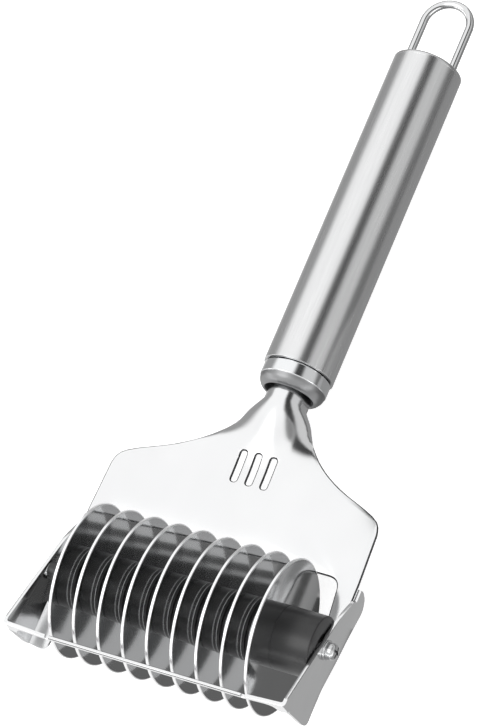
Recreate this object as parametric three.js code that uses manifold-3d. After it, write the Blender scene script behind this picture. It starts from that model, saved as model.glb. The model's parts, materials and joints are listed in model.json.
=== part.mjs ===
// Noodle cutter roller, millimetres.
// X runs along the roller axle, Y from the guard bar towards the handle, Z up.
// The origin sits on the ground under the middle of the tool's outline.
import * as THREE from "three";
import { mergeVertices } from "three/addons/utils/BufferGeometryUtils.js";
import Module from "manifold-3d";

const wasm = await Module();
wasm.setup();

// Driving dimensions: sheet metal
const sheet = 1.1;
const plateDrop = 6.99;
const plateBack = 40.7;

// Driving dimensions: roller
const discCount = 9;
const discRadius = 24.1;
const discThickness = 1.0;
const discRim = 0.4;
const discBevel = 0.8;
const discPitch = 8.16;
const spacerRadius = 9.8;
const spacerChamfer = 0.5;
const sleeveRadius = 2.9;
const axleRadius = 2.0;
const boreGap = 0.09;
const endGap = 0.45;
const hubLength = 12.31;

// Driving dimensions: handle
const handleRadius = 11.3;
const handleWall = 0.9;
const handleLength = 109.2;
const handleDrop = 9.19;
const handleStart = 85.3;
const collarRadius = 10.8;
const collarLength = 8.0;
const neckRadius = 7.0;
const neckWrap = 1.22;
const neckInsert = 6.0;
const neckLow = 0.7;
const capHeight = 2.6;
const loopWire = 1.3;
const loopHalf = 7.7;
const loopRise = 24.8;

// Driving dimensions: screws
const washerRadius = 3.1;
const washerThickness = 0.7;
const screwRadius = 2.6;
const screwHeight = 3.0;
const rivetStub = 0.7;

// Sizes that follow from them
const rollerHalf = ((discCount - 1) / 2) * discPitch + discThickness / 2;
const hubEnd = rollerHalf + hubLength;
const earInner = hubEnd + endGap;
const halfWidth = earInner + sheet;
const plateTop = -plateDrop;
const plateUnder = plateTop - sheet;
const handleZ = -handleDrop;
const barFront = -0.998 * discRadius;
const groundZ = -discRadius;
const capStart = handleStart + handleLength;
const loopTop = capStart + loopRise;
const barBow = 0.6 * sheet;
const middleX = (washerThickness + screwHeight - rivetStub) / 2;
const middleY = (loopTop + loopWire + barFront - barBow) / 2;

const finish = {
  polished: { color: 0xe4e6e8, roughness: 0.16, metalness: 1.0 },
  disc: { color: 0xd2d5d8, roughness: 0.1, metalness: 1.0 },
  brushed: { color: 0xc4c7ca, roughness: 0.32, metalness: 1.0 },
  bright: { color: 0xdadcde, roughness: 0.2, metalness: 1.0 },
  plastic: { color: 0x121214, roughness: 0.42, metalness: 0.0 },
};

const tool = new THREE.Group();

// Adds one named mesh; the shapes are drawn about the axle and moved to the ground frame here.
function addPart(name, geometry, look) {
  geometry.computeVertexNormals();
  const mesh = new THREE.Mesh(geometry, new THREE.MeshStandardMaterial(finish[look]));
  mesh.name = name;
  mesh.position.set(-middleX, -middleY, -groundZ);
  tool.add(mesh);
}

// Joins the shared corners of a closed mesh and hands it over as a solid.
function toSolid(geometry) {
  const bare = geometry.clone();
  bare.deleteAttribute("normal");
  bare.deleteAttribute("uv");
  const whole = mergeVertices(bare, sheet / 1000);
  const mesh = new wasm.Mesh({
    numProp: 3,
    vertProperties: new Float32Array(whole.attributes.position.array),
    triVerts: new Uint32Array(whole.index.array),
  });
  return new wasm.Manifold(mesh);
}

// Turns a solid back into a three.js geometry with its own corners for each face.
function toGeometry(solid) {
  const mesh = solid.getMesh();
  const geometry = new THREE.BufferGeometry();
  const points = new Float32Array((mesh.vertProperties.length / mesh.numProp) * 3);
  for (let i = 0; i < points.length / 3; i += 1) {
    for (let k = 0; k < 3; k += 1) points[3 * i + k] = mesh.vertProperties[i * mesh.numProp + k];
  }
  geometry.setAttribute("position", new THREE.BufferAttribute(points, 3));
  geometry.setIndex(Array.from(mesh.triVerts));
  return geometry.toNonIndexed();
}

// Turns a closed profile of [radius, distance along X] round the axle.
function turnedX(profile, steps) {
  const ring = profile.map(([r, x]) => new THREE.Vector2(r, x));
  ring.push(ring[0].clone());
  const geometry = new THREE.LatheGeometry(ring, steps);
  geometry.rotateZ(-Math.PI / 2);
  return geometry;
}

// Turns a closed profile of [radius, distance along Y] round the handle's centre line.
function turnedY(profile, steps) {
  const ring = profile.map(([r, y]) => new THREE.Vector2(r, y));
  ring.push(ring[0].clone());
  const geometry = new THREE.LatheGeometry(ring, steps);
  geometry.translate(0, 0, handleZ);
  return geometry;
}

// Extrudes an outline drawn in Y and Z along X, from x to x + depth.
function sideSheet(points, x, depth) {
  const shape = new THREE.Shape(points.map(([y, z]) => new THREE.Vector2(y, z)));
  const geometry = new THREE.ExtrudeGeometry(shape, { depth, bevelEnabled: false });
  // Shape plane XY becomes YZ, and the extrusion runs along X.
  geometry.rotateX(Math.PI / 2);
  geometry.rotateZ(Math.PI / 2);
  geometry.translate(x, 0, 0);
  return geometry;
}

// Extrudes an outline drawn in X and Y upwards from z to z + depth.
function flatSheet(shape, z, depth, curveSegments) {
  const geometry = new THREE.ExtrudeGeometry(shape, { depth, bevelEnabled: false, curveSegments });
  geometry.translate(0, 0, z);
  return geometry;
}

// Rounds every corner of an outline; each corner is [a, b, radius].
function roundedShape(corners, steps) {
  const out = [];
  corners.forEach(([a, b, r], i) => {
    const [pa, pb] = corners[(i + corners.length - 1) % corners.length];
    const [na, nb] = corners[(i + 1) % corners.length];
    const here = new THREE.Vector2(a, b);
    const before = new THREE.Vector2(pa, pb).sub(here);
    const after = new THREE.Vector2(na, nb).sub(here);
    const reach = Math.min(r, before.length() / 2, after.length() / 2);
    if (reach === 0) {
      out.push([a, b]);
      return;
    }
    const from = here.clone().add(before.setLength(reach));
    const to = here.clone().add(after.setLength(reach));
    const curve = new THREE.QuadraticBezierCurve(from, here, to);
    curve.getPoints(steps).forEach((p) => out.push([p.x, p.y]));
  });
  return out;
}

function box(x0, x1, y0, y1, z0, z1) {
  const geometry = new THREE.BoxGeometry(x1 - x0, y1 - y0, z1 - z0);
  geometry.translate((x0 + x1) / 2, (y0 + y1) / 2, (z0 + z1) / 2);
  return toSolid(geometry);
}

// Head plate: a flat sheet that narrows at the shoulders and rolls up into a round, open neck.
// Each pair holds the share of the way from shoulder to neck and the share of the flare's width.
const flareShares = [
  [0, 1], [0.07, 0.988], [0.12, 0.962], [0.155, 0.925], [0.19, 0.868], [0.22, 0.806],
  [0.25, 0.741], [0.28, 0.674], [0.31, 0.612], [0.35, 0.544], [0.386, 0.488], [0.43, 0.427],
  [0.48, 0.368], [0.54, 0.308], [0.6, 0.258], [0.67, 0.206], [0.744, 0.16], [0.83, 0.112],
  [0.9, 0.067], [0.95, 0.032], [1, 0],
];
const shoulderShare = 0.985;
const flareLength = 0.817 * plateBack;
const neckStart = plateBack + flareLength;
const neckEnd = handleStart + neckInsert;
const prongFront = 0.19 * plateBack;
const bayBack = 1.015 * discRadius;
const bayHalf = 0.838 * halfWidth;
const bayFlare = 0.055 * halfWidth;

function plateSection(y) {
  const share = Math.min(1, Math.max(0, (y - plateBack) / flareLength));
  let width = 1;
  for (let i = 1; i < flareShares.length; i += 1) {
    const [s0, w0] = flareShares[i - 1];
    const [s1, w1] = flareShares[i];
    if (share >= s0) width = w0 + ((w1 - w0) * (share - s0)) / (s1 - s0);
  }
  // The sides are widest between the ears and draw in a little up to the shoulders.
  const run = Math.min(1, Math.max(0, (y - discRadius) / (plateBack - discRadius)));
  const shoulder = earInner * (1 + (shoulderShare - 1) * run);
  const neckHalf = neckRadius * Math.sin((Math.PI / 2) * neckWrap);
  const half = neckHalf + (shoulder - neckHalf) * width;
  // The roll of the neck dies out where the shoulders are wide.
  const rise = Math.min(1, Math.max(0, (y - plateBack - 0.2 * flareLength) / (0.8 * flareLength)));
  const roll = rise * rise * (3 - 2 * rise);
  const across = 24;
  const lean = 1 + 0.7 * (1 - roll);
  const top = [];
  for (let i = 0; i <= across; i += 1) {
    const s = -1 + (2 * i) / across;
    const flatX = half * Math.sign(s) * Math.abs(s) ** lean;
    const angle = (Math.PI / 2) * (1 + (neckWrap - 1) * roll) * s;
    const roundZ = handleZ - neckLow + neckRadius * Math.cos(angle);
    const x = roll * neckRadius * Math.sin(angle) + (1 - roll) * flatX;
    top.push(new THREE.Vector2(x, plateTop + roll * (roundZ - plateTop)));
  }
  // Stretch the section so that its edges keep the outline's width.
  const edge = top[top.length - 1].x;
  top.forEach((p) => {
    const far = Math.abs(p.x) / edge;
    p.x *= 1 + (half / edge - 1) * far;
  });
  const under = top.map((p, i) => {
    const a = top[Math.max(0, i - 1)];
    const b = top[Math.min(top.length - 1, i + 1)];
    const along = b.clone().sub(a).normalize();
    return new THREE.Vector2(p.x + along.y * sheet, p.y - along.x * sheet);
  });
  return { top, under };
}

function headPlate() {
  const rows = [prongFront, bayBack, (bayBack + plateBack) / 2];
  const flares = 24;
  for (let i = 0; i <= flares; i += 1) rows.push(plateBack + (flareLength * i) / flares);
  rows.push((neckStart + neckEnd) / 2, neckEnd);
  const positions = [];
  const loops = rows.map((y) => {
    const { top, under } = plateSection(y);
    const loop = [...top, ...under.slice().reverse()];
    return loop.map((p) => {
      positions.push(p.x, y, p.y);
      return positions.length / 3 - 1;
    });
  });
  const index = [];
  const n = loops[0].length;
  for (let j = 0; j + 1 < loops.length; j += 1) {
    for (let i = 0; i < n; i += 1) {
      const k = (i + 1) % n;
      const [a, b, c, d] = [loops[j][i], loops[j][k], loops[j + 1][k], loops[j + 1][i]];
      index.push(a, c, b, a, d, c);
    }
  }
  const half = n / 2;
  [[loops[0], 1], [loops[loops.length - 1], -1]].forEach(([loop, side]) => {
    for (let i = 0; i + 1 < half; i += 1) {
      const [a, b, c, d] = [loop[i], loop[i + 1], loop[n - 2 - i], loop[n - 1 - i]];
      if (side > 0) index.push(a, b, c, a, c, d);
      else index.push(a, c, b, a, d, c);
    }
  });
  const geometry = new THREE.BufferGeometry();
  geometry.setAttribute("position", new THREE.Float32BufferAttribute(positions, 3));
  geometry.setIndex(index);
  let solid = toSolid(geometry);
  if (solid.volume() < 0) {
    for (let i = 0; i < index.length; i += 3) [index[i], index[i + 1]] = [index[i + 1], index[i]];
    geometry.setIndex(index);
    solid = toSolid(geometry);
  }

  // Bay for the roller, open towards the guard bar, with rounded inner corners.
  const low = plateUnder - sheet;
  const tall = 3 * sheet;
  const round = 0.15 * discRadius;
  const bay = roundedShape([
    [-bayHalf - bayFlare, 0, 0], [bayHalf + bayFlare, 0, 0],
    [bayHalf, bayBack, round], [-bayHalf, bayBack, round],
  ], 8);
  const bayShape = new THREE.Shape(bay.map(([x, y]) => new THREE.Vector2(x, y)));
  solid = solid.subtract(toSolid(flatSheet(bayShape, low, tall, 8)));
  // Three slots in front of the neck.
  const slotHalf = 0.95 * sheet;
  const slotFront = 1.11 * plateBack;
  const slotBack = 1.365 * plateBack;
  [-1, 0, 1].forEach((k) => {
    const x = k * 4.6 * sheet;
    const slot = roundedShape([
      [x - slotHalf, slotFront, slotHalf], [x + slotHalf, slotFront, slotHalf],
      [x + slotHalf, slotBack, slotHalf], [x - slotHalf, slotBack, slotHalf],
    ], 5);
    const shape = new THREE.Shape(slot.map(([a, b]) => new THREE.Vector2(a, b)));
    solid = solid.subtract(toSolid(flatSheet(shape, low, plateDrop + tall, 5)));
  });
  addPart("head_plate", toGeometry(solid), "polished");
}

// Guard: two ears and the bar between them, bent from one strip.
// Each row holds an ear corner as shares of the disc radius: Y, Z and the rounding.
const earShares = [
  [0.222, 0.056, 0.1], [0.506, -0.076, 0.1], [0.716, -0.223, 0.1], [0.796, plateTop / discRadius, 0],
  [0.796, plateUnder / discRadius, 0], [0.963, plateUnder / discRadius, 0], [0.975, -0.41, 0.05],
  [0.935, -0.555, 0.08], [0.8, -0.635, 0.1], [0.331, -0.515, 0.1], [0.032, -0.465, 0.1],
  [-0.395, -0.36, 0.1], [-0.618, -0.355, 0.05], [-0.88, -0.355, 0.06], [-0.93, -0.25, 0.06],
];
const barTop = 0.537 * discRadius;
const barHeight = 1.3 * sheet;
const bendRadius = 1.9 * sheet;
const cornerDepth = 0.22 * discRadius;

function guard() {
  const f = barFront;
  const R = discRadius;
  const outline = earShares.map(([y, z, round]) => [y * R, z * R, round * R]);
  const ear = roundedShape([
    ...outline, [-0.99 * R, barTop - cornerDepth, 0],
    [f + bendRadius, barTop - cornerDepth, 0], [f + bendRadius, barTop, 0],
    [f + bendRadius + sheet / 6, barTop, 0],
  ], 5);
  let solid = toSolid(sideSheet(ear, earInner, sheet));
  solid = solid.add(toSolid(sideSheet(ear, -halfWidth, sheet)));

  // The bar is bowed a little outwards and turns into each ear round a bend.
  const knee = rollerHalf;
  const outer = roundedShape([
    [-halfWidth, f + 1.2 * bendRadius, 0], [-halfWidth, f, bendRadius], [-knee, f - barBow, 0],
    [knee, f - barBow, 0], [halfWidth, f, bendRadius], [halfWidth, f + 1.2 * bendRadius, 0],
    [earInner, f + 1.2 * bendRadius, 0], [earInner, f + sheet, bendRadius - sheet / 2],
    [knee, f - barBow + sheet, 0], [-knee, f - barBow + sheet, 0],
    [-earInner, f + sheet, bendRadius - sheet / 2], [-earInner, f + 1.2 * bendRadius, 0],
  ], 6);
  const plan = new THREE.Shape(outer.map(([x, y]) => new THREE.Vector2(x, y)));
  let strip = toSolid(flatSheet(plan, barTop - cornerDepth, cornerDepth, 6));
  // Below the bar the strip is cut away, with a rounded corner next to each ear.
  const clearHalf = earInner - 2 * sheet;
  const clear = roundedShape([
    [-clearHalf, barTop - 2 * cornerDepth, 0], [clearHalf, barTop - 2 * cornerDepth, 0],
    [clearHalf, barTop - barHeight, 0.2 * R], [-clearHalf, barTop - barHeight, 0.2 * R],
  ], 8);
  const front = new THREE.Shape(clear.map(([x, z]) => new THREE.Vector2(x, z)));
  const cutter = new THREE.ExtrudeGeometry(front, { depth: 4 * bendRadius, bevelEnabled: false });
  cutter.rotateX(Math.PI / 2);
  cutter.translate(0, f - barBow - sheet + 4 * bendRadius, 0);
  strip = strip.subtract(toSolid(cutter));
  // The strip's flat ends overlap the ears' flat sheet inside the same body.
  solid = solid.add(strip);

  // A nick in the top edge beside each outermost disc.
  [-1, 1].forEach((side) => {
    const x = side * (rollerHalf - discThickness / 2) + 0.8 * discThickness;
    const half = 0.5 * discThickness + 0.15 * sheet;
    const low = barTop - 0.6 * barHeight;
    solid = solid.subtract(box(x - half, x + half, f - 3 * sheet, f + 3 * sheet, low, barTop + sheet));
  });

  // A short foot turned inwards from the foot of each ear.
  const footReach = 0.13 * halfWidth;
  [[-1, -0.948], [1, -0.778]].forEach(([side, share]) => {
    const out = side * earInner;
    const inner = side * (earInner - footReach);
    const foot = roundedShape([
      [out + side * sheet / 2, -0.3 * R, 0], [inner, -0.45 * R, 0.25 * R], [inner, share * R, 0.2 * R],
      [out + side * sheet / 2, share * R + 0.05 * R, 0],
    ], 6);
    const shape = new THREE.Shape(foot.map(([x, y]) => new THREE.Vector2(x, y)));
    solid = solid.add(toSolid(flatSheet(shape, -0.34 * R, sheet, 6)));
  });

  // Holes for the axle.
  const bore = axleRadius + boreGap;
  const hole = new THREE.CylinderGeometry(bore, bore, 4 * halfWidth, 28);
  hole.rotateZ(Math.PI / 2);
  solid = solid.subtract(toSolid(hole));
  addPart("guard", toGeometry(solid), "polished");
}

// Roller: nine discs with bevelled rims, spacers between them and a longer hub at each end.
function roller() {
  const bore = axleRadius + boreGap;
  const h = discThickness / 2;
  const disc = [
    [bore, -h], [discRadius - discBevel, -h], [discRadius, -discRim / 2], [discRadius, discRim / 2],
    [discRadius - discBevel, h], [bore, h],
  ];
  for (let i = 0; i < discCount; i += 1) {
    const geometry = turnedX(disc, 48);
    geometry.translate((i - (discCount - 1) / 2) * discPitch, 0, 0);
    addPart(`cutting_disc_${i + 1}`, geometry, "disc");
  }
  const turned = (from, to) => turnedX([
    [bore, from], [spacerRadius - spacerChamfer, from], [spacerRadius, from + spacerChamfer],
    [spacerRadius, to - spacerChamfer], [spacerRadius - spacerChamfer, to], [bore, to],
  ], 26);
  for (let i = 0; i + 1 < discCount; i += 1) {
    const x = (i - (discCount - 1) / 2) * discPitch + h;
    addPart(`spacer_${i + 1}`, turned(x, x + discPitch - discThickness), "plastic");
  }
  // The left hub is no longer than a spacer and reaches its ear with a slim sleeve.
  const step = -rollerHalf - (discPitch - discThickness);
  addPart("end_hub_left", turnedX([
    [bore, -hubEnd], [sleeveRadius, -hubEnd], [sleeveRadius, step],
    [spacerRadius - spacerChamfer, step], [spacerRadius, step + spacerChamfer],
    [spacerRadius, -rollerHalf - spacerChamfer], [spacerRadius - spacerChamfer, -rollerHalf],
    [bore, -rollerHalf],
  ], 26), "plastic");
  addPart("end_hub_right", turned(rollerHalf, hubEnd), "plastic");
}

// Axle: a plain end stands a little out of the left ear, a washer and screw hold the right end.
function axleAndScrew() {
  const end = halfWidth + washerThickness;
  const stub = -halfWidth - rivetStub;
  const edge = rivetStub / 3;
  addPart("axle", turnedX([
    [0, stub], [axleRadius - edge, stub], [axleRadius, stub + edge], [axleRadius, end], [0, end],
  ], 28), "bright");
  addPart("washer", turnedX([
    [axleRadius + boreGap, halfWidth], [washerRadius, halfWidth],
    [washerRadius, end - washerThickness / 4], [washerRadius - washerThickness / 4, end],
    [axleRadius + boreGap, end],
  ], 28), "bright");
  const crown = 0.4 * screwHeight;
  const profile = [[0, end], [screwRadius, end], [screwRadius, end + screwHeight - crown]];
  for (let i = 1; i < 5; i += 1) {
    const a = (Math.PI / 2) * (i / 5);
    profile.push([screwRadius * Math.cos(a), end + screwHeight - crown + crown * Math.sin(a)]);
  }
  profile.push([0, end + screwHeight]);
  let screw = toSolid(turnedX(profile, 28));
  // Cross recess in the head.
  const slot = 0.15 * screwRadius;
  const reach = 0.68 * screwRadius;
  const from = end + 0.55 * screwHeight;
  const to = end + 2 * screwHeight;
  screw = screw.subtract(box(from, to, -reach, reach, -slot, slot));
  screw = screw.subtract(box(from, to, -slot, slot, -reach, reach));
  addPart("screw", toGeometry(screw), "bright");
}

// Handle: a plain tube, a collar that takes the neck, a domed end and a hanging loop.
function handle() {
  const inner = handleRadius - handleWall;
  const start = handleStart;
  addPart("handle_tube", turnedY([
    [inner, start], [handleRadius - handleWall / 3, start], [handleRadius, start + handleWall / 3],
    [handleRadius, capStart], [inner, capStart],
  ], 56), "brushed");

  const spigot = inner - boreGap;
  const mouth = neckRadius + neckLow + boreGap;
  const shoulder = 0.42 * (collarRadius - mouth) + mouth;
  const front = start - collarLength;
  addPart("collar", turnedY([
    [mouth, start + neckInsert], [mouth, front + 0.05 * collarLength],
    [mouth + 0.03 * collarRadius, front],
    [shoulder, front + 0.1 * collarLength],
    [(shoulder + collarRadius) / 2, front + 0.22 * collarLength],
    [0.98 * collarRadius, front + 0.45 * collarLength], [collarRadius, front + 0.62 * collarLength],
    [collarRadius, start - boreGap], [collarRadius - handleWall / 2, start], [spigot, start],
    [spigot, start + neckInsert],
  ], 44), "bright");

  // The filler closes the underside of the neck inside the collar.
  const across = 18;
  const arc = [];
  const fill = neckRadius - sheet - boreGap / 2;
  for (let i = 0; i <= across; i += 1) {
    const a = (Math.PI / 2) * (1 - neckWrap) + (Math.PI * neckWrap * i) / across;
    arc.push(new THREE.Vector2(fill * Math.cos(a), fill * Math.sin(a)));
  }
  const core = new THREE.ExtrudeGeometry(new THREE.Shape(arc), {
    depth: collarLength + neckInsert - sheet, bevelEnabled: false,
  });
  core.rotateX(Math.PI / 2);
  core.translate(0, start + neckInsert, handleZ - neckLow);
  addPart("neck_filler", core, "bright");

  // Domed end with a spigot inside the tube and two sockets for the loop.
  const end = capStart;
  const dome = [
    [0, end - neckInsert], [spigot, end - neckInsert], [spigot, end], [handleRadius, end],
    [handleRadius, end + 0.12 * capHeight],
  ];
  const round = 0.3 * handleRadius;
  for (let i = 1; i <= 6; i += 1) {
    const a = (Math.PI / 2) * (i / 6);
    dome.push([handleRadius - round + round * Math.cos(a), end + capHeight * (0.12 + 0.68 * Math.sin(a))]);
  }
  dome.push([0.4 * handleRadius, end + 0.94 * capHeight], [0, end + capHeight]);
  let cap = toSolid(turnedY(dome, 56));
  const legStart = end - neckInsert / 2;
  [-1, 1].forEach((side) => {
    const socket = new THREE.CylinderGeometry(loopWire + boreGap, loopWire + boreGap, 4 * capHeight, 24);
    socket.translate(side * loopHalf, legStart + 2 * capHeight, handleZ);
    cap = cap.subtract(toSolid(socket));
  });
  addPart("handle_end_cap", toGeometry(cap), "brushed");

  // Hanging loop: round wire along two straight legs and a half circle.
  const bendY = loopTop - loopHalf;
  const path = new THREE.CurvePath();
  const track = [new THREE.Vector3(-loopHalf, legStart, 0)];
  const steps = 14;
  for (let i = 0; i <= steps; i += 1) {
    const a = Math.PI - (Math.PI * i) / steps;
    track.push(new THREE.Vector3(loopHalf * Math.cos(a), bendY + loopHalf * Math.sin(a), 0));
  }
  track.push(new THREE.Vector3(loopHalf, legStart, 0));
  for (let i = 0; i + 1 < track.length; i += 1) path.add(new THREE.LineCurve3(track[i], track[i + 1]));
  const wire = new THREE.Shape();
  wire.absarc(0, 0, loopWire, 0, 2 * Math.PI, false);
  const loop = new THREE.ExtrudeGeometry(wire, {
    steps: 40, bevelEnabled: false, extrudePath: path, curveSegments: 6,
  });
  loop.translate(0, 0, handleZ);
  addPart("hanging_loop", loop, "bright");
}

headPlate();
guard();
roller();
axleAndScrew();
handle();

export default tool;
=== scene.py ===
# %% [markdown]
# # A noodle cutter roller: polished sheet, thin discs and turned metal
# This lesson dresses a finished CAD model of a hand tool that cuts rolled dough into noodles.
# The CAD model is loaded as a fixed frame: it says where every piece is, in metres. Each piece
# is then drawn again with finer curves and eased edges, and gets a material of its own. Nothing
# is moved or resized, so the picture and the CAD model stay the same object.

# %% Load the frame
import bpy
import json
import math
from mathutils import Matrix, Vector

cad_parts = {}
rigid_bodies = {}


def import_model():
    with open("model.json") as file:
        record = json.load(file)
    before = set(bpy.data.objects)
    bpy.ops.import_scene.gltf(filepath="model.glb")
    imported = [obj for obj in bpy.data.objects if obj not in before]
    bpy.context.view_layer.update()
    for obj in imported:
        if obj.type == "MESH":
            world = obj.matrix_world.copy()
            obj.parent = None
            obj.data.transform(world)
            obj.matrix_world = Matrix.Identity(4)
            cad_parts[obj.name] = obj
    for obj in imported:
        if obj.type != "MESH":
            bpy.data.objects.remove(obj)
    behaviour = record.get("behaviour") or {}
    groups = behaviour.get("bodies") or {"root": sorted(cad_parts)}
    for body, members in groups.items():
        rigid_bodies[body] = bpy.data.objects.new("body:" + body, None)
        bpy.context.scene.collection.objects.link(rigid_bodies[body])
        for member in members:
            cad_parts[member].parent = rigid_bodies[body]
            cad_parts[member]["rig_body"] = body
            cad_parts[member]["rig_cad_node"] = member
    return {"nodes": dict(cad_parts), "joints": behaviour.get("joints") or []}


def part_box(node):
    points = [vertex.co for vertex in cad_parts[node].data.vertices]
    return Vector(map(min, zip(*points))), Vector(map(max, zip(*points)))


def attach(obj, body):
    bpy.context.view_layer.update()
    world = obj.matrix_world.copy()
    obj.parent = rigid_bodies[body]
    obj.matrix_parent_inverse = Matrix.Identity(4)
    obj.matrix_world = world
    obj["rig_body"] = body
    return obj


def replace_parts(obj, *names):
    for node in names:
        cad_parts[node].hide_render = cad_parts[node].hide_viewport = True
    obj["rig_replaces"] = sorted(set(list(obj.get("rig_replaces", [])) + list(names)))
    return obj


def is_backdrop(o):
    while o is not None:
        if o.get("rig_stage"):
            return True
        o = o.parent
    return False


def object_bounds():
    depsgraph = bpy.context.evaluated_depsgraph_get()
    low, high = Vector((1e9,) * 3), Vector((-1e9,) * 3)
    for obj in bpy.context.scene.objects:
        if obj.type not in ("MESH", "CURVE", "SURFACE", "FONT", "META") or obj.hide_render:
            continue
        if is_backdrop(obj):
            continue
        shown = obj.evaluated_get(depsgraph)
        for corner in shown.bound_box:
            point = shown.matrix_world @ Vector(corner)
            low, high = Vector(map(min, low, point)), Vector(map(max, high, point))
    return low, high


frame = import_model()
cad_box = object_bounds()
mm = 0.001
axle = Vector(frame["joints"][0]["pos_m"])
print("pieces in the frame:", len(frame["nodes"]), "- axle at", [round(v / mm, 2) for v in axle])

# %% [markdown]
# ## Camera
# The photograph was taken from far away with a long lens, from the right and above, and the
# camera was turned until the handle ran up the picture. A long lens keeps the discs nearly
# the same size. The three rows below are the directions that are right, up and backwards
# for the camera, so no angle has to be guessed twice.

# %% Camera
bpy.ops.object.select_all(action="DESELECT")
bpy.ops.object.camera_add()
camera = bpy.context.object
camera.name = "photo_camera"
right = Vector((0.88845122, 0.3741684, -0.26580527))
up = Vector((-0.23432116, 0.86774969, 0.43829678))
back = Vector((0.39464924, -0.32712151, 0.85862884))
stand = Matrix((right, up, back)).transposed().to_4x4()
stand.translation = Vector((0.49339558, -0.44097453, 1.13386312))
camera.matrix_world = stand
film_width = 36
focal_pixels = 4238
picture_height = 728
camera.data.sensor_width = film_width
camera.data.lens = film_width * focal_pixels / picture_height
camera.data.clip_end = 20
bpy.context.scene.camera = camera
print("lens in mm:", round(camera.data.lens, 1))

# %% [markdown]
# ## Small hands for shader maths
# Blender adds numbers in a material with Math nodes. Wiring each one by hand hides the formula,
# so a small class wraps a socket and lets us write `0.2 + 0.1 * grain`. One method, `add`,
# makes every other node: its type, its settings, and then what goes into its sockets.

# %% A wire that can be added and multiplied
class Wire:
    def __init__(self, finish, socket):
        self.finish = finish
        self.socket = socket

    def sum(self, operation, *values):
        return self.finish.add("ShaderNodeMath", {"operation": operation}, dict(enumerate(values)))

    def alone(self, operation):
        return self.sum(operation, self)

    def __add__(self, other):
        return self.sum("ADD", self, other)

    def __radd__(self, other):
        return self.sum("ADD", other, self)

    def __sub__(self, other):
        return self.sum("SUBTRACT", self, other)

    def __rsub__(self, other):
        return self.sum("SUBTRACT", other, self)

    def __mul__(self, other):
        return self.sum("MULTIPLY", self, other)

    def __rmul__(self, other):
        return self.sum("MULTIPLY", other, self)

    def __pow__(self, other):
        return self.sum("POWER", self, other)


# %% A finish: one material and the nodes in it
class Finish:
    def __init__(self, tree, name):
        self.tree = tree
        self.name = name

    def add(self, kind, settings=None, sockets=None, out=0):
        node = self.tree.nodes.new(kind)
        for key, value in (settings or {}).items():
            setattr(node, key, value)
        for key, value in (sockets or {}).items():
            if isinstance(value, Wire):
                self.tree.links.new(value.socket, node.inputs[key])
            else:
                node.inputs[key].default_value = value
        return Wire(self, node.outputs[out])

    def parts(self, vector):
        node = self.add("ShaderNodeSeparateXYZ", None, {0: vector}).socket.node
        return [Wire(self, node.outputs[i]) for i in range(3)]

    def join(self, x, y, z):
        return self.add("ShaderNodeCombineXYZ", None, {0: x, 1: y, 2: z})

    def place(self, centre=(0, 0, 0), scale=(1000, 1000, 1000)):
        """Where a point of the piece is, from the centre. A scale of 1000 turns metres into mm."""
        where = self.add("ShaderNodeTexCoord", out="Object")
        shift = self.add("ShaderNodeVectorMath", {"operation": "SUBTRACT"}, {0: where, 1: centre})
        return self.add("ShaderNodeVectorMath", {"operation": "MULTIPLY"}, {0: shift, 1: scale})

    def noise(self, vector, detail, rough=0.55):
        sockets = {"Vector": vector, "Scale": 1.0, "Detail": detail, "Roughness": rough}
        return self.add("ShaderNodeTexNoise", None, sockets, out="Fac")

    def blend(self, share, one, other):
        return self.add("ShaderNodeMix", {"data_type": "RGBA"}, {0: share, 6: one, 7: other}, out=2)

    def ramp(self, value, low, high):
        span = {"interpolation_type": "SMOOTHSTEP"}
        return self.add("ShaderNodeMapRange", span, {"Value": value, "From Min": low, "From Max": high})

    def bump(self, height, strength, depth):
        """The depth is in mm."""
        return self.add("ShaderNodeBump", None,
                        {"Height": height, "Strength": strength, "Distance": depth * mm}, out="Normal")


# %% Start a finish and coat it
def new_finish(name):
    material = bpy.data.materials.new(name)
    material.use_nodes = True
    return material, Finish(material.node_tree, name)


def coat(finish, **values):
    shader = finish.tree.nodes["Principled BSDF"]
    for key, value in values.items():
        socket = shader.inputs[key.replace("_", " ")]
        if isinstance(value, Wire):
            finish.tree.links.new(value.socket, socket)
        else:
            socket.default_value = value
    print("finish ready:", finish.name)


# %% [markdown]
# ## Polished sheet
# The head plate and the guard are cut from stainless sheet and polished on a wheel. The real
# surface is nearly a mirror, with a faint grain from the rolling mill and soft patches where
# the wheel pressed harder. The grain runs along the handle, so a noise is stretched that way.
# It moves the roughness much more than the height, because a polished sheet is flat to the touch.

# %% Sheet finish
def sheet_finish():
    material, f = new_finish("polished_sheet")
    grain = f.noise(f.place(scale=(2600, 160, 2600)), detail=4.0)
    cloud = f.noise(f.place(scale=(55, 40, 55)), detail=2.0)
    hazy = (0.79, 0.794, 0.80, 1)
    clear = (0.86, 0.863, 0.868, 1)
    coat(f, Base_Color=f.blend(cloud, hazy, clear), Metallic=1.0,
         Roughness=0.1 + 0.06 * grain + 0.05 * cloud, Normal=f.bump(grain, 0.05, 0.02))
    return material


sheet_steel = sheet_finish()

# %% [markdown]
# Where the sheet was punched out its edge is rougher and duller than the polished faces. Its
# near-black colour is painted shade: the eased corners of the sheet get this second finish, which
# paints the thin dark line round them.

# %% Punched edge
def edge_finish():
    material, f = new_finish("punched_edge_painted_dark")
    scratch = f.noise(f.place(scale=(900, 900, 5000)), detail=4.0)
    # Painted shade: these near-black tones draw the dark outline round the sheet's edge.
    torn_painted_dark = (0.03, 0.03, 0.032, 1)
    sheared_painted_dark = (0.09, 0.09, 0.093, 1)
    coat(f, Base_Color=f.blend(scratch, torn_painted_dark, sheared_painted_dark), Metallic=1.0,
         Roughness=0.38 + 0.15 * scratch, Normal=f.bump(scratch, 0.15, 0.02))
    return material


edge_steel_painted_dark = edge_finish()
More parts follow.
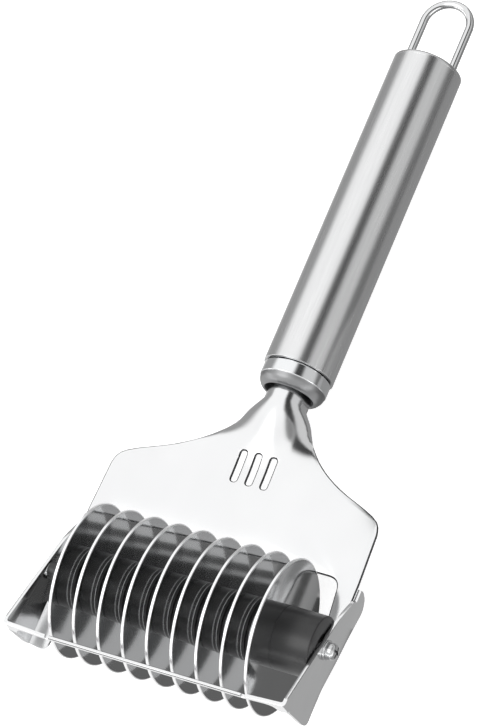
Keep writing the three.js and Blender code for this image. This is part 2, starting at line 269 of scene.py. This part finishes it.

# %% [markdown]
# ## Turned steel
# Discs, washer, screw and collar are finished while they spin, so their fine lines are circles
# about their own axis. The distance from that axis is worked out from the place on the piece and
# drives a noise with almost no change round the circle. The same recipe with wider and flatter
# lines does for the wire loop, which is drawn through a die. The rim of a disc is ground rougher,
# and its near-white tone is a painted highlight that draws the bright rim band. The shoulder of the
# collar is left dull, and its dark grey tone is painted shade.

# %% Steel with circles round an axis
def turned_steel(name, centre, axis, pitch, rough, tint, lift, rim=None, satin_and_painted_shade=None):
    """Pitch, lift, and where the painted rim highlight and end shade begin and end, are in mm."""
    material, f = new_finish(name)
    x, y, z = f.parts(f.place(centre=centre))
    across = {"X": (y, z), "Y": (x, z)}[axis]
    radius = (across[0] * across[0] + across[1] * across[1]) ** 0.5
    drift = 0.05
    lines = f.noise(f.join(radius * (1 / pitch), x * drift, y * drift), detail=3.0)
    cloud = f.noise(f.place(scale=(90, 90, 90)), detail=3.0)
    dull_share = 0.94
    tone = f.blend(cloud, tuple(dull_share * c for c in tint) + (1,), tint + (1,))
    wear_and_painted_light = 0.0
    # Painted highlight: the disc rim band is tinted near-white; its extra roughness is real grinding.
    if rim is not None:
        wear_and_painted_light = f.ramp(radius, rim, rim + 0.15)
        tone = f.blend(wear_and_painted_light, tone, (0.96, 0.96, 0.965, 1))
    # Painted shade: the collar's dull end is tinted dark grey; its extra roughness is real satin.
    if satin_and_painted_shade is not None:
        matt_and_painted_shade = 1 - f.ramp(y, satin_and_painted_shade, satin_and_painted_shade + 0.3)
        tone = f.blend(matt_and_painted_shade, tone, (0.29, 0.292, 0.296, 1))
        wear_and_painted_light = wear_and_painted_light + matt_and_painted_shade
    coat(f, Base_Color=tone, Metallic=1.0, Roughness=rough + 0.07 * lines + 0.05 * cloud + 0.2 * wear_and_painted_light,
         Normal=f.bump(lines, 0.06, lift))
    return material


# %% [markdown]
# The frame says where the handle's middle line is, how large a disc is and where the collar
# begins, so the circles of each finish sit on the piece that wears it.

# %% Four turned finishes
disc_low, disc_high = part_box("cutting_disc_1")
disc_radius = (disc_high.z - disc_low.z) / 2 / mm
rim_width = 0.5
disc_steel = turned_steel("mirror_disc", axle, "X", pitch=0.35, rough=0.04, tint=(0.68, 0.685, 0.69),
                          lift=0.006, rim=disc_radius - rim_width)
collar_low, collar_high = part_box("collar")
handle_line = (collar_low + collar_high) / 2
shoulder_length = 3.2
collar_steel = turned_steel("turned_collar", handle_line, "Y", pitch=0.3, rough=0.1,
                            tint=(0.84, 0.85, 0.86), lift=0.01,
                            satin_and_painted_shade=(collar_low.y - handle_line.y) / mm + shoulder_length)
wire_steel = turned_steel("drawn_wire", handle_line, "Y", pitch=0.5, rough=0.02,
                          tint=(0.74, 0.745, 0.75), lift=0.004)
bright_steel = turned_steel("bright_steel", axle, "X", pitch=0.3, rough=0.12,
                            tint=(0.62, 0.625, 0.63), lift=0.01)

# %% [markdown]
# ## Brushed tube
# The handle tube is drawn over a belt that leaves fine lines from end to end. They are about a
# tenth of a millimetre apart and several millimetres long. Lines that fine blur the
# highlights across the tube, which gives the soft satin bands of the photograph.

# %% Tube finish
def tube_finish():
    material, f = new_finish("brushed_tube")
    fine = f.noise(f.place(scale=(5200, 110, 5200)), detail=5.0, rough=0.7)
    coarse = f.noise(f.place(scale=(900, 24, 900)), detail=2.0)
    brush = 0.7 * fine + 0.3 * coarse
    groove = (0.62, 0.623, 0.627, 1)
    ridge = (0.84, 0.843, 0.847, 1)
    coat(f, Base_Color=f.blend(brush, groove, ridge), Metallic=1.0, Roughness=0.2 + 0.12 * brush,
         Normal=f.bump(brush, 0.1, 0.02))
    return material


tube_steel = tube_finish()

# %% [markdown]
# ## Black plastic
# Spacers and hubs are moulded in black plastic and skimmed on a lathe. The surface is smooth and
# a little shiny, with faint rings. Two fine beads on each spacer carry a painted highlight: they are
# coloured near-white and a little metallic to draw their glints. The glints repeat with the distance
# from disc to disc, so the remainder of that distance says where a bead is. The hubs are a little
# shinier and have no beads.

# %% Plastic finish
pitch = (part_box("cutting_disc_2")[0].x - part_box("cutting_disc_1")[0].x) / mm
last_disc = 33
painted_glint_half, painted_glint_edge = 0.010, 0.024


def plastic_finish(name, base, painted_glint_places, gloss):
    """Each painted glint is the place of a bead between two discs, as a share of their distance."""
    material, f = new_finish(name)
    x, y, z = f.parts(f.place(centre=axle))
    rings = f.noise(f.join(x * 7.0, y * 0.06, z * 0.06), detail=3.0)
    above_zero = 20.0
    along = ((x + 0.5 * pitch) * (1 / pitch) + above_zero).alone("FRACT")
    painted_bead_glint = 0.0
    for share in painted_glint_places:
        near = (along - share).alone("ABSOLUTE")
        painted_bead_glint = painted_bead_glint + (1 - f.ramp(near, painted_glint_half, painted_glint_edge))
    skin = f.noise(f.place(scale=(2200, 2200, 2200)), detail=2.0)
    tone = f.blend(skin, (base, base, 1.1 * base, 1), (2 * base, 2 * base, 2.1 * base, 1))
    painted_bead_glint = painted_bead_glint * (1 - f.ramp(x.alone("ABSOLUTE"), last_disc, last_disc + 0.4))
    # Painted highlight: the bead lines get a near-white colour and a little metal to draw their glints.
    coat(f, Base_Color=f.blend(painted_bead_glint, tone, (0.85, 0.85, 0.86, 1)), Specular_IOR_Level=gloss,
         Metallic=0.2 * painted_bead_glint, Roughness=0.26 + 0.1 * rings + 0.05 * skin - 0.12 * painted_bead_glint,
         Normal=f.bump(rings + 0.3 * skin, 0.12, 0.02))
    return material


black_plastic = plastic_finish("beaded_plastic_painted_glints", 0.004, painted_glint_places=(0.7145, 0.88), gloss=0.5)
hub_plastic = plastic_finish("hub_plastic", 0.006, painted_glint_places=(), gloss=0.7)

# %% [markdown]
# ## Turning a piece
# Every round piece but the wire loop is made the way a lathe makes it: half of its outline is
# drawn, then spun about its axis. A tiny plane is merged to one point, the point is extruded along
# the outline, and the spin operator turns it. Outline corners are eased first, because light
# catches a small radius and never catches a perfect edge.

# %% Ease the corners of an outline
corner_steps = 4


def eased(outline, closed=True):
    """Each point is (radius, distance, ease) in mm; a corner with an ease becomes a short arc."""
    out = []
    count = len(outline)
    for i, (r, d, ease) in enumerate(outline):
        here = Vector((r, d))
        if not ease or (not closed and i in (0, count - 1)):
            out.append(here)
            continue
        before = Vector(outline[i - 1][:2]) - here
        after = Vector(outline[(i + 1) % count][:2]) - here
        just_over_two = 2.01
        reach = min(ease, before.length / just_over_two, after.length / just_over_two)
        start = here + before.normalized() * reach
        end = here + after.normalized() * reach
        for k in range(corner_steps + 1):
            t = k / corner_steps
            out.append(start * (1 - t) ** 2 + here * 2 * t * (1 - t) + end * t * t)
    return out


# %% Spin an outline
ALONG = {"X": Vector((1, 0, 0)), "Y": Vector((0, 1, 0))}
UP = Vector((0, 0, 1))
weld = 0.002 * mm


def turned(outline, about, axis, closed=True, steps=144):
    points = [about + (UP * p[0] + ALONG[axis] * p[1]) * mm for p in eased(outline, closed)]
    if closed:
        points.append(points[0])
    bpy.ops.object.select_all(action="DESELECT")
    bpy.ops.mesh.primitive_plane_add(size=mm, location=points[0])
    bpy.ops.object.mode_set(mode="EDIT")
    bpy.ops.mesh.merge(type="CENTER")
    for a, b in zip(points, points[1:]):
        bpy.ops.mesh.extrude_vertices_move(TRANSFORM_OT_translate={"value": b - a})
    bpy.ops.mesh.select_all(action="SELECT")
    bpy.ops.mesh.spin(steps=steps, angle=2 * math.pi, center=about, axis=ALONG[axis])
    bpy.ops.mesh.select_all(action="SELECT")
    bpy.ops.mesh.remove_doubles(threshold=weld)
    bpy.ops.mesh.normals_make_consistent(inside=False)
    return bpy.context.object


# %% [markdown]
# Each finished piece is shaded smooth except at its corners, gets its material, and is tied to
# the body that it moves with. It also says which pieces of the CAD model it stands in for.

# %% Finish a piece
def finish_piece(piece, name, body, material, nodes, angle=32):
    bpy.ops.object.mode_set(mode="OBJECT")
    bpy.ops.object.transform_apply(location=True, rotation=True, scale=True)
    piece.name = piece.data.name = name
    bpy.ops.object.shade_smooth_by_angle(angle=math.radians(angle))
    piece.data.materials.clear()
    piece.data.materials.append(material)
    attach(piece, body)
    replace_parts(piece, *nodes)
    print(name, "-", len(piece.data.polygons), "faces")
    return piece


# %% Where a node is
def middle(node):
    low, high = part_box(node)
    return (low + high) / 2


def span(node):
    """Where a node starts and ends along the axle, in mm from the joint."""
    low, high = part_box(node)
    return (low.x - axle.x) / mm, (high.x - axle.x) / mm


def copy_to(piece, name, shift, node):
    twin = piece.copy()
    twin.data = piece.data.copy()
    bpy.context.collection.objects.link(twin)
    twin.data.transform(Matrix.Translation(shift))
    twin.name = twin.data.name = name
    del twin["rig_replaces"]
    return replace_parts(twin, node)


# %% [markdown]
# ## Cutting discs
# Nine thin discs are stamped from sheet, ground to a bevel on both sides and polished. One is
# turned from its outline: bore, flat face, bevel and a narrow rim. The other eight are copies,
# each with its own mesh, moved to the place that the frame gives.

# %% One disc, then eight copies
disc_count = 9
half = (disc_high.x - disc_low.x) / 2 / mm
bore = 2.09
rim, bevel = 0.38, 0.3
disc_outline = [
    (bore, -half, 0), (disc_radius - bevel, -half, 0.1), (disc_radius, -rim, 0.1),
    (disc_radius, rim, 0.1), (disc_radius - bevel, half, 0.1), (bore, half, 0),
]
first_place = middle("cutting_disc_1")
first = turned(disc_outline, Vector((first_place.x, axle.y, axle.z)), "X", steps=192)
first = finish_piece(first, "disc_1", "roller", disc_steel, ["cutting_disc_1"])
for i in range(2, disc_count + 1):
    node = f"cutting_disc_{i}"
    copy_to(first, f"disc_{i}", Vector((middle(node).x - first_place.x, 0, 0)), node)
print("disc radius and thickness in mm:", round(disc_radius, 2), round(2 * half, 2))

# %% [markdown]
# ## Spacers
# The black spacers keep the discs a noodle's width apart. Each carries two fine raised beads in
# its left half, whose near-white painted highlight draws thin light arcs on black.

# %% One spacer, then seven copies
low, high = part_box("spacer_1")
spacer_radius = (high.z - low.z) / 2 / mm
spacer_length = (high.x - low.x) / mm
bead_height = 0.15
bead_places = (1.12, 2.47)


def spacer_outline(start, end):
    top = spacer_radius
    body = top - bead_height
    outline = [(bore, start, 0), (top - 0.35, start, 0.15), (body, start + 0.3, 0.15)]
    for d in bead_places:
        d = start + d
        outline += [(body, d - 0.3, 0.08), (top, d - 0.1, 0.1), (top, d + 0.1, 0.1), (body, d + 0.3, 0.08)]
    return outline + [(body, end - 0.3, 0.15), (top - 0.35, end, 0.15), (bore, end, 0)]


first_place = middle("spacer_1")
ring = turned(spacer_outline(-spacer_length / 2, spacer_length / 2),
              Vector((first_place.x, axle.y, axle.z)), "X")
ring = finish_piece(ring, "spacer_ring_1", "roller", black_plastic, ["spacer_1"])
for i in range(2, disc_count):
    node = f"spacer_{i}"
    copy_to(ring, f"spacer_ring_{i}", Vector((middle(node).x - first_place.x, 0, 0)), node)

# %% [markdown]
# ## End hubs
# The right hub is longer and runs to the ear beside the screw. The left one is as short as a
# spacer and goes on as a slim sleeve, which the guard hides from this side.

# %% Hubs
start, end = span("end_hub_right")
dish_radius, dish_depth = 4.6, 0.5
hub = turned([
    (bore, start, 0), (spacer_radius, start, 0.1), (spacer_radius, end, 0.45), (dish_radius, end, 0.1),
    (dish_radius - 0.2, end - dish_depth, 0.05), (bore, end - dish_depth, 0),
], axle, "X")
finish_piece(hub, "right_hub", "roller", hub_plastic, ["end_hub_right"])

start, end = span("end_hub_left")
sleeve_radius = 2.9
step = end - spacer_length
hub = turned([
    (bore, start, 0), (sleeve_radius, start, 0.1), (sleeve_radius, step, 0), (spacer_radius, step, 0.4),
    (spacer_radius, end, 0.1), (bore, end, 0),
], axle, "X")
finish_piece(hub, "left_hub", "roller", hub_plastic, ["end_hub_left"])

# %% [markdown]
# ## Axle, washer and screw
# The axle is a plain steel rod. On the right a washer and a pan-head screw hold it, and the
# head has a cross recess. The recess is cut with a boolean of two crossed bars, as a punch would
# press it.

# %% Rod and washer
start, end = span("axle")
rod_radius = 2.0
rod = turned([
    (0, start, 0), (rod_radius, start, 0.25), (rod_radius, end, 0.2), (0, end, 0),
], axle, "X", closed=False, steps=64)
finish_piece(rod, "axle_rod", "frame", bright_steel, ["axle"])

start, end = span("washer")
washer_radius = 3.1
disc = turned([
    (bore, start, 0), (washer_radius, start, 0.1), (washer_radius, end, 0.2), (bore, end, 0),
], axle, "X", steps=64)
finish_piece(disc, "screw_washer", "frame", bright_steel, ["washer"])

# %% Screw head with a cross recess
start, end = span("screw")
screw_radius = 2.6
head = turned([
    (0, start, 0), (screw_radius, start, 0.1), (screw_radius, start + 1.7, 0.3),
    (screw_radius - 0.5, end - 0.35, 0.7), (0, end, 0),
], axle, "X", closed=False, steps=64)
bpy.ops.object.mode_set(mode="OBJECT")
bar_height, bar_length, bar_width = 3.2, 3.5, 0.75
for size in ((bar_height, bar_length, bar_width), (bar_height, bar_width, bar_length)):
    bpy.ops.object.select_all(action="DESELECT")
    bpy.ops.mesh.primitive_cube_add(size=1, location=axle + Vector((end + 0.2, 0, 0)) * mm)
    bar = bpy.context.object
    bar.scale = Vector(size) * mm
    bpy.ops.object.transform_apply(location=True, rotation=True, scale=True)
    bpy.context.view_layer.objects.active = head
    cut = head.modifiers.new("recess", "BOOLEAN")
    cut.operation = "DIFFERENCE"
    cut.solver = "EXACT"
    cut.object = bar
    bpy.ops.object.modifier_apply(modifier="recess")
    bpy.data.objects.remove(bar)
head.select_set(True)
finish_piece(head, "screw_head", "frame", bright_steel, ["screw"])

# %% [markdown]
# ## Sheet pieces
# The guard and the head plate come from the frame with perfect edges. Real sheet has its edges
# broken by tumbling, and the thin rounded line, coloured near-black as painted shade, draws the
# dark outline round the plate and along the bar. The CAD mesh itself stays as it is: a copy is
# merged, its flat triangles are dissolved, and a bevel rounds every sharp edge. The bar's long edges
# are rounded first, a little wider than the small corners of the guard allow.

# %% Ease the long edges of the bar
EDGE_SLOT = 1
long_edge = 30 * mm


def ease_long_edges(piece, width):
    """Round the edges that run along X from ear to ear. The piece is in edit mode."""
    bpy.ops.mesh.select_all(action="DESELECT")
    bpy.ops.mesh.select_mode(type="EDGE")
    bpy.ops.object.mode_set(mode="OBJECT")
    corners = piece.data.vertices
    for edge in piece.data.edges:
        one, other = [corners[i].co for i in edge.vertices]
        edge.select = abs(one.x - other.x) > long_edge
    bpy.ops.object.mode_set(mode="EDIT")
    bpy.ops.mesh.bevel(offset=width * mm, segments=3, clamp_overlap=False, material=EDGE_SLOT)
    bpy.ops.mesh.select_mode(type="VERT")


# %% Copy a sheet node to a piece of its own
def copy_of(node):
    source = frame["nodes"][node]
    piece = source.copy()
    piece.data = source.data.copy()
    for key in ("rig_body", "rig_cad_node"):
        del piece[key]
    piece.parent = None
    bpy.context.collection.objects.link(piece)
    bpy.ops.object.select_all(action="DESELECT")
    piece.select_set(True)
    bpy.context.view_layer.objects.active = piece
    return piece


# %% Merge the copy and ease its edges
def sheet_piece(node, name, width, clamp, bar=None):
    """Width is the ease of every sharp edge in mm, and bar that of the bar's long edges."""
    piece = copy_of(node)
    bpy.ops.object.mode_set(mode="EDIT")
    bpy.ops.mesh.select_all(action="SELECT")
    bpy.ops.mesh.remove_doubles(threshold=weld)
    bpy.ops.mesh.dissolve_limited(angle_limit=math.radians(0.3))
    piece.data.materials.append(edge_steel_painted_dark)
    if bar:
        ease_long_edges(piece, bar)
    bpy.ops.object.mode_set(mode="OBJECT")
    edge = piece.modifiers.new("eased", "BEVEL")
    edge.width = width * mm
    edge.segments = 3
    edge.limit_method = "ANGLE"
    edge.angle_limit = math.radians(50)
    edge.use_clamp_overlap = clamp
    edge.material = EDGE_SLOT
    bpy.ops.object.modifier_apply(modifier="eased")
    places = [face.material_index for face in piece.data.polygons]
    finish_piece(piece, name, "frame", sheet_steel, [node], angle=38)
    piece.data.materials.append(edge_steel_painted_dark)
    piece.data.polygons.foreach_set("material_index", places)
    print("eased faces:", sum(places))


sheet_piece("guard", "bent_guard", 0.1, True, bar=0.16)
sheet_piece("head_plate", "flared_plate", 0.36, False)

# %% [markdown]
# ## Handle tube
# The tube is drawn steel whose edge is eased where the collar goes in. It is turned from its
# outline and keeps its wall, so that the seam at the collar is a real dark gap.

# %% Tube
low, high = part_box("handle_tube")
tube_radius = (high.x - low.x) / 2 / mm
inner_radius = tube_radius - 0.9
centre = Vector((axle.x, low.y, (low.z + high.z) / 2))
length = (high.y - low.y) / mm
tube = turned([
    (inner_radius, 0, 0), (tube_radius, 0, 0.15), (tube_radius, length, 0), (inner_radius, length, 0),
], centre, "Y", steps=192)
finish_piece(tube, "brushed_handle", "frame", tube_steel, ["handle_tube"])

# %% [markdown]
# ## Collar
# The collar is turned from bar. Its nose is rounded and left satin, and its dark grey tone there is
# painted shade. Then comes a fine step and a bright band. Just before the tube a groove is cut, which
# the eye reads as the seam. The small filler in the neck keeps its CAD shape and gets the finish of
# the sheet that it closes.

# %% Collar and neck filler
tip = (collar_low.y - centre.y) / mm
deep = (collar_high.y - centre.y) / mm
mouth_radius, band_radius, spigot_radius = 7.85, 10.8, 9.9
collar = turned([
    (mouth_radius, deep, 0), (mouth_radius, tip + 0.5, 0), (8.1, tip, 0.25), (9.2, tip + 0.45, 0.5),
    (10.3, tip + 1.9, 0.8), (10.62, tip + 3.3, 0.15), (band_radius, tip + 3.5, 0.15),
    (band_radius, -0.7, 0.15), (spigot_radius, -0.6, 0.05), (spigot_radius, deep, 0),
], centre, "Y", steps=160)
finish_piece(collar, "turned_collar_ring", "frame", collar_steel, ["collar"])
neck = frame["nodes"]["neck_filler"]
neck.data.materials.clear()
neck.data.materials.append(sheet_steel)

# %% [markdown]
# ## Domed end and hanging loop
# The far end of the tube is closed by a domed cap, and a wire loop stands in it. The loop is half
# a torus: a whole torus is cut through the middle, and its two open ends are drawn out into
# straight legs that reach into the cap.

# %% Domed end
low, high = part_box("handle_end_cap")
top = (high.y - centre.y) / mm
spigot = (low.y - centre.y) / mm
spigot_radius = tube_radius - 1.0
dome = turned([
    (0, spigot, 0), (spigot_radius, spigot, 0.3), (spigot_radius, length, 0),
    (tube_radius, length, 0.1), (tube_radius, length + 0.9, 0.6), (tube_radius - 1.2, length + 1.9, 1.2),
    (tube_radius - 4.0, top - 0.2, 1.5), (0, top, 0),
], centre, "Y", closed=False, steps=160)
finish_piece(dome, "domed_end", "frame", tube_steel, ["handle_end_cap"])

# %% Loop of wire
low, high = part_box("hanging_loop")
wire_radius = (high.z - low.z) / 2
bend = (high.x - low.x) / 2 - wire_radius
turn = Vector((axle.x, high.y - wire_radius - bend, (low.z + high.z) / 2))
bpy.ops.object.select_all(action="DESELECT")
bpy.ops.mesh.primitive_torus_add(location=turn, major_radius=bend, minor_radius=wire_radius,
                                 major_segments=96, minor_segments=32)
loop = bpy.context.object
bpy.ops.object.mode_set(mode="EDIT")
bpy.ops.mesh.select_all(action="SELECT")
bpy.ops.mesh.bisect(plane_co=turn, plane_no=(0, 1, 0), clear_inner=True)
bpy.ops.mesh.select_all(action="DESELECT")
bpy.ops.mesh.select_mode(type="EDGE")
bpy.ops.mesh.select_non_manifold()
bpy.ops.mesh.extrude_region_move(TRANSFORM_OT_translate={"value": (0, low.y - turn.y, 0)})
bpy.ops.mesh.edge_face_add()
bpy.ops.mesh.select_all(action="SELECT")
bpy.ops.mesh.normals_make_consistent(inside=False)
finish_piece(loop, "wire_loop", "frame", wire_steel, ["hanging_loop"])

# %% [markdown]
# ## Floor
# A product photograph on white has a pale sheet under the object. The sheet glows a little, so it
# stays white in the picture. Steel would mirror it and lose its shape, so mirrors do not see it.

# %% Floor
bpy.ops.object.select_all(action="DESELECT")
bpy.ops.mesh.primitive_plane_add(size=6, location=(0, 0, 0))
floor = bpy.context.object
floor.name = "pale_floor"
paper, f = new_finish("white_paper")
fibre = f.noise(f.place(scale=(300, 300, 300)), detail=3.0)
coat(f, Base_Color=f.blend(fibre, (0.93, 0.93, 0.93, 1), (0.95, 0.95, 0.95, 1)), Roughness=0.9,
     Emission_Color=(1, 1, 1, 1), Emission_Strength=0.6)
floor.data.materials.append(paper)
floor.visible_glossy = False
floor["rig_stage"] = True

# %% [markdown]
# ## Cards
# A photographer lays grey and black cards below the work and hangs them above it, out of the
# picture, and polished steel takes its dark shapes from them. Each card here is a plane that only
# mirrors see. Its tone changes along X or Y, and each pair of numbers says where and how bright.

# %% A card that only mirrors see
def card(name, xs, ys, height, side, tones):
    """A glowing card. Places are in mm from the axle, the height is in mm from the ground."""
    (x0, x1), (y0, y1) = xs, ys
    bpy.ops.object.select_all(action="DESELECT")
    place = Vector(((x0 + x1) / 2 * mm + axle.x, (y0 + y1) / 2 * mm + axle.y, height * mm))
    bpy.ops.mesh.primitive_plane_add(size=1, location=place)
    piece = bpy.context.object
    piece.scale = ((x1 - x0) * mm, (y1 - y0) * mm, 1)
    bpy.ops.object.transform_apply(location=True, rotation=True, scale=True)
    piece.name = name
    material, f = new_finish(name)
    along = dict(zip("XYZ", f.parts(f.place(centre=axle))))[side]
    tone = tones[0][1]
    for (a, one), (b, other) in zip(tones, tones[1:]):
        tone = tone + (other - one) * f.ramp(along, a, b)
    coat(f, Base_Color=(0, 0, 0, 1), Specular_IOR_Level=0.0, Emission_Strength=1.0,
         Emission_Color=f.join(tone, tone, tone))
    piece.data.materials.append(material)
    piece.visible_camera = piece.visible_diffuse = piece.visible_shadow = False
    piece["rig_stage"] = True


# %% [markdown]
# Five cards lie just under the ground. The side card gives the right ear its even grey, the dark
# card gives the discs a dark zone with one light line in it, the left card darkens the inside of
# the left ear, the disc card lights the last disc, and the tube card lies under the handle. Two hang
# above: the lid card shades the tops of the discs and the strip card darkens the neck's right side.

# %% Hang the cards
ground = -0.5
grey = 0.42
card("side_card", (49, 140), (-90, 120), ground, "Y", [(-90, grey), (120, grey)])
card("dark_card", (-47, 38), (16, 27.5), ground, "Y",
     [(16, 0.07), (22.6, 0.07), (23.6, grey), (24.0, grey), (25.4, 0.12), (27.5, 0.16)])
card("left_card", (-46, -32), (-12, 16), ground, "Y", [(-12, 0.25), (-4, 0.06), (16, 0.06)])
card("disc_card", (38, 49), (16, 30), ground, "X",
     [(38, 0.28), (42, 0.34), (43, 0.08), (45.4, 0.08), (46.4, grey), (49, grey)])
card("lid_card", (44, 116), (58, 92), 167, "X", [(44, 0.22), (116, 0.22)])
card("tube_card", (-20, 49), (70, 300), ground, "Y", [(70, 0.32), (300, 0.32)])
card("strip_card", (0, 78), (82, 300), 84, "X",
     [(5.8, 1.12), (21.1, 0.04), (42.9, 0.04), (64.3, 0.68), (78, 0.68)])

# %% [markdown]
# ## Studio light
# Large panels round the work give the long light and dark bands of the handle. They are drawn into
# the world as bands round the handle's direction: each pair of numbers below is an angle from
# straight up, in degrees, and how bright the studio is there. The front of the studio is one white
# panel, with a brighter spot behind the camera and a bright strip low down for the spacers.

# %% Bands round the handle
world = bpy.data.worlds.new("studio")
bpy.context.scene.world = world
world.use_nodes = True
sky = Finish(world.node_tree, "studio")
x, y, z = sky.parts(sky.add("ShaderNodeTexCoord", out="Generated"))
around = x.sum("ARCTAN2", x, z) * (180 / math.pi)
bands = [(-180, 0.7), (-132, 0.7), (-118, 0.36), (-78, 0.36), (-58, 1.12), (8, 1.12), (18, 0.45),
         (32, 0.45), (44, 0.68), (78, 0.68), (94, 0.16), (180, 0.16)]
light = bands[0][1]
for (a, low_tone), (b, high_tone) in zip(bands, bands[1:]):
    if high_tone != low_tone:
        light = light + (high_tone - low_tone) * sky.ramp(around, a, b)

# %% Front panel, spot and low strip
front = 1 - sky.ramp(y, -0.15, 0.1)
spot = sky.ramp(y * -0.327 - 0.395 * x + z * 0.857, 0.9, 0.97)
strip = sky.ramp(z, 0.09, 0.145) * (1 - sky.ramp(z, 0.155, 0.21))
front_light, spot_light, strip_light = 1.0, 1.6, 4.0
light = light * (1 - front) + front_light * front + spot_light * spot + strip_light * strip * front
shade = world.node_tree.nodes["Background"]
world.node_tree.links.new(sky.join(light, light, light).socket, shade.inputs["Color"])
shade.inputs["Strength"].default_value = 1.0
bpy.context.scene.view_settings.view_transform = "Standard"

# %% [markdown]
# ## Measure and finish
# The box round the CAD model and the box round the dressed pieces are written down side by side.
# They should agree to a tenth of a millimetre or so, because dressing only rounds the edges.

# %% Measure and finish
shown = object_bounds()
for name, corner in (("CAD", cad_box), ("picture", shown)):
    print(name, "box in mm:", [[round(v / mm, 2) for v in c] for c in corner])
